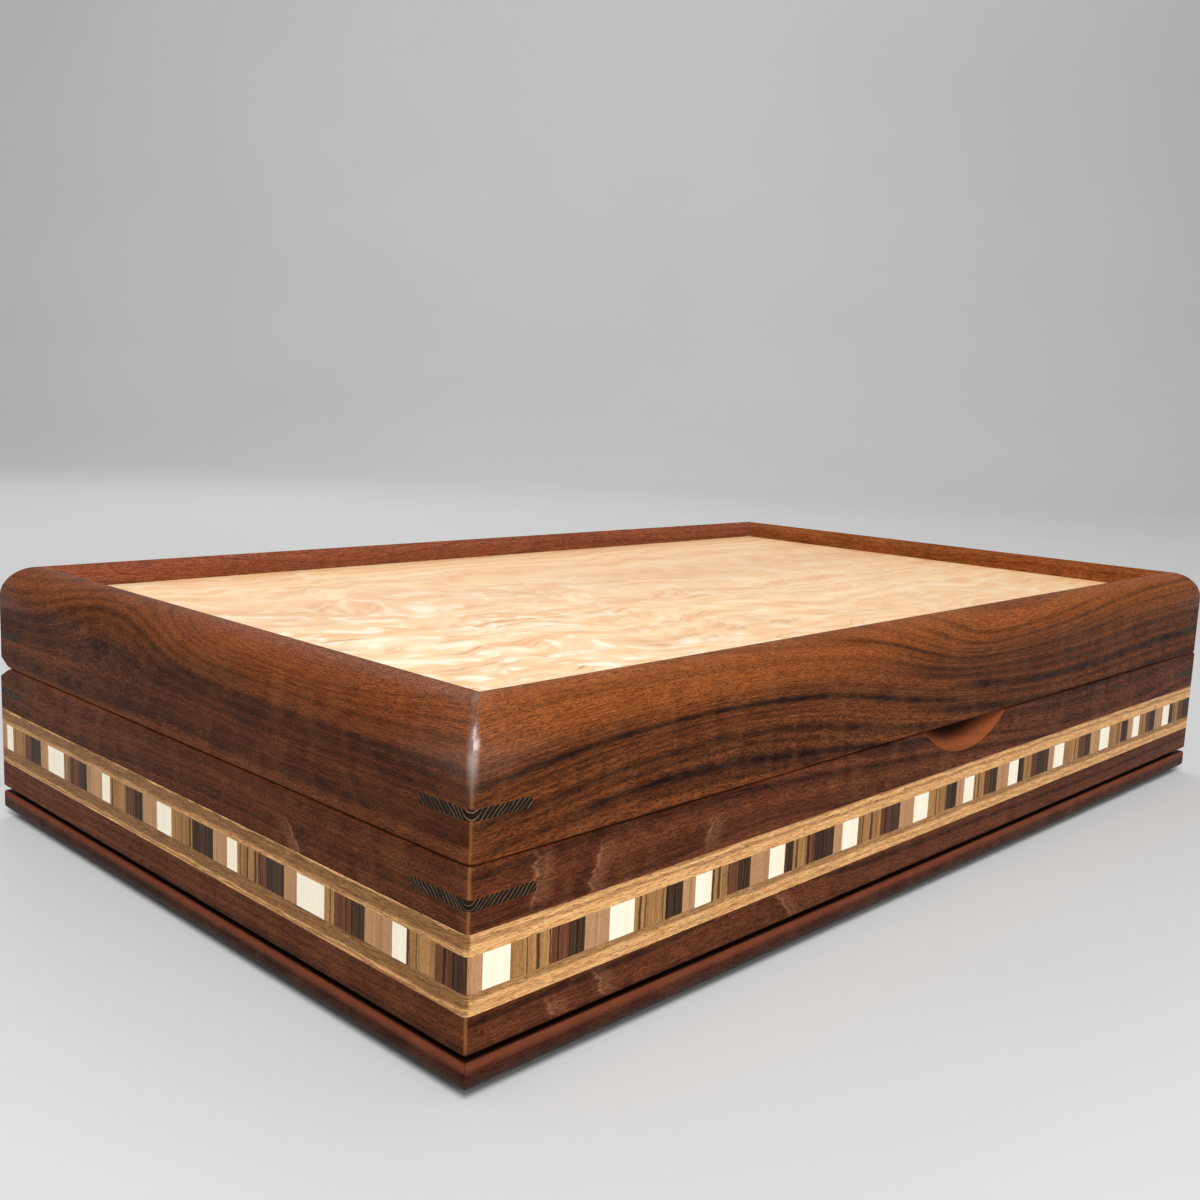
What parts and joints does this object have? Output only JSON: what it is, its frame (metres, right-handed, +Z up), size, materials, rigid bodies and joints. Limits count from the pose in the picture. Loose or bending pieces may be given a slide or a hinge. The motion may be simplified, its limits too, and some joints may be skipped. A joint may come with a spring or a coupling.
{
  "type": "valet box",
  "caption": "Low walnut valet box with a hinged lid, a figured maple lid panel, an inlaid band of wood blocks, a finger recess, lined compartments and a sliding tray.",
  "frame": {"origin": "on the table, under the middle of the box", "axes": "+X along the length towards the right-hand end, +Y towards the hinged back, +Z up"},
  "size_m": [0.38, 0.232, 0.0815],
  "materials": {
    "walnut": "satin clear finish",
    "figured_maple": "satin clear finish",
    "oak_border": "satin clear finish",
    "maple": "satin clear finish",
    "cherry": "satin clear finish",
    "zebrano": "satin clear finish",
    "rosewood": "satin clear finish",
    "ebony": "satin clear finish",
    "shadow_gap": "black stain",
    "birch_ply": "plain",
    "suede": "napped",
    "felt": "pressed felt",
    "brass": "brushed"
  },
  "bodies": {
    "case": {"front_wall": "walnut", "back_wall": "walnut", "left_wall": "walnut", "right_wall": "walnut", "case_corner_keys": "ebony", "case_bottom": "birch_ply", "band_lower_border": "oak_border", "band_upper_border": "oak_border", "maple_blocks": "maple", "cherry_blocks": "cherry", "zebrano_blocks": "zebrano", "rosewood_blocks": "rosewood", "ebony_blocks": "ebony", "plinth_front": "walnut", "plinth_back": "walnut", "plinth_left": "walnut", "plinth_right": "walnut", "spacer_strips": "shadow_gap", "felt_pads": "felt", "tray_runner_front": "walnut", "tray_runner_back": "walnut", "long_divider": "walnut", "cross_dividers": "walnut", "compartment_linings": "suede", "hinge_leaves_case": "brass", "hinge_pins": "brass", "hinge_screws_case": "brass"},
    "lid": {"lid_front_rail": "walnut", "lid_back_rail": "walnut", "lid_left_rail": "walnut", "lid_right_rail": "walnut", "lid_corner_keys": "ebony", "lid_panel": "figured_maple", "lid_lining": "suede", "hinge_leaves_lid": "brass", "hinge_screws_lid": "brass"},
    "tray": {"tray_front": "walnut", "tray_back": "walnut", "tray_left": "walnut", "tray_right": "walnut", "tray_floor": "birch_ply", "tray_divider": "walnut", "tray_linings": "suede"}
  },
  "joints": [
    {"name": "lid_hinge", "type": "hinge", "parent": "case", "child": "lid", "pos_m": [0, 0.113, 0.0496], "axis": [-1, 0, 0], "range_deg": [0, 95]},
    {"name": "tray_slide", "type": "slide", "parent": "case", "child": "tray", "axis": [1, 0, 0], "range_m": [0, 0.184]}
  ]
}
